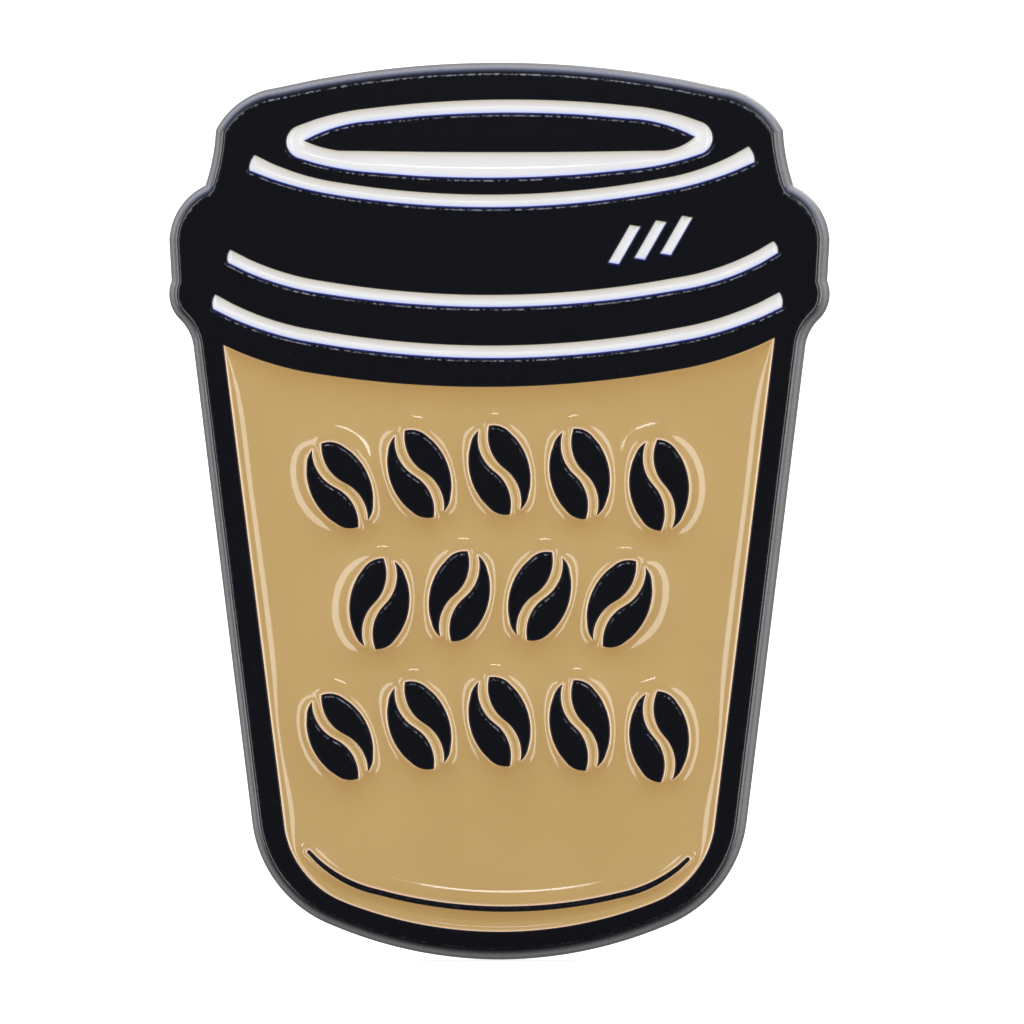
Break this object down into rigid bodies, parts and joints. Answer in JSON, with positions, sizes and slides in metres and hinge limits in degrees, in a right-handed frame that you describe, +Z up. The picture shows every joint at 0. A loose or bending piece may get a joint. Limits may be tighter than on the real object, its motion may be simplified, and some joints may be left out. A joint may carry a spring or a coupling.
{
  "type": "enamel pin badge",
  "caption": "Soft-enamel lapel pin in the shape of a lidded takeaway cup, worn on posts held by butterfly clutches.",
  "frame": {"origin": "on the plane of the back rim, midway between the two posts", "axes": "+Z up the cup, -Y the way the face looks, +Y out of the back along the posts, +X to the right as seen from the front"},
  "size_m": [0.0234, 0.0096, 0.0318],
  "materials": {
    "black_metal": "smooth black-dyed plating",
    "tan_enamel": "glossy baked enamel",
    "white_enamel": "glossy baked enamel",
    "plated_steel": "nickel plated",
    "plated_brass": "bright pressed brass",
    "solder": "dull solder"
  },
  "bodies": {
    "badge": {"badge_plate": "black_metal", "cup_enamel": "tan_enamel", "lid_ring_enamel": "white_enamel", "upper_band_enamel": "white_enamel", "middle_band_enamel": "white_enamel", "lower_band_enamel": "white_enamel", "left_dash_enamel": "white_enamel", "middle_dash_enamel": "white_enamel", "right_dash_enamel": "white_enamel", "upper_post": "plated_steel", "upper_post_solder": "solder", "lower_post": "plated_steel", "lower_post_solder": "solder"},
    "upper_clutch": {"upper_clutch_dish": "plated_brass"},
    "upper_swivel": {"upper_clutch_cover": "plated_brass"},
    "upper_right_grip": {"upper_wing_right": "plated_brass"},
    "upper_left_grip": {"upper_wing_left": "plated_brass"},
    "lower_clutch": {"lower_clutch_dish": "plated_brass"},
    "lower_swivel": {"lower_clutch_cover": "plated_brass"},
    "lower_right_grip": {"lower_wing_right": "plated_brass"},
    "lower_left_grip": {"lower_wing_left": "plated_brass"}
  },
  "joints": [
    {"name": "upper_clutch_slide", "type": "slide", "parent": "badge", "child": "upper_clutch", "axis": [0, 1, 0], "range_m": [-0.0013, 0.0093]},
    {"name": "upper_clutch_swivel", "type": "hinge", "parent": "upper_clutch", "child": "upper_swivel", "pos_m": [0, 0.002, 0.007], "axis": [0, 1, 0], "continuous": true},
    {"name": "upper_wing_right_squeeze", "type": "hinge", "parent": "upper_swivel", "child": "upper_right_grip", "pos_m": [0.00195, 0.00458, 0.007], "axis": [0, 0, 1], "range_deg": [0, 10], "stiffness_Nm_per_rad": 0.0005},
    {"name": "upper_wing_left_squeeze", "type": "hinge", "parent": "upper_swivel", "child": "upper_left_grip", "pos_m": [-0.00195, 0.00458, 0.007], "axis": [0, 0, 1], "range_deg": [-10, 0], "stiffness_Nm_per_rad": 0.0005},
    {"name": "lower_clutch_slide", "type": "slide", "parent": "badge", "child": "lower_clutch", "axis": [0, 1, 0], "range_m": [-0.0013, 0.0093]},
    {"name": "lower_clutch_swivel", "type": "hinge", "parent": "lower_clutch", "child": "lower_swivel", "pos_m": [0, 0.002, -0.007], "axis": [0, 1, 0], "continuous": true},
    {"name": "lower_wing_right_squeeze", "type": "hinge", "parent": "lower_swivel", "child": "lower_right_grip", "pos_m": [0.00195, 0.00458, -0.007], "axis": [0, 0, 1], "range_deg": [0, 10], "stiffness_Nm_per_rad": 0.0005},
    {"name": "lower_wing_left_squeeze", "type": "hinge", "parent": "lower_swivel", "child": "lower_left_grip", "pos_m": [-0.00195, 0.00458, -0.007], "axis": [0, 0, 1], "range_deg": [-10, 0], "stiffness_Nm_per_rad": 0.0005}
  ],
  "couplings": [
    {"joint": "upper_wing_left_squeeze", "follows": "upper_wing_right_squeeze", "ratio": -1},
    {"joint": "lower_wing_left_squeeze", "follows": "lower_wing_right_squeeze", "ratio": -1}
  ]
}
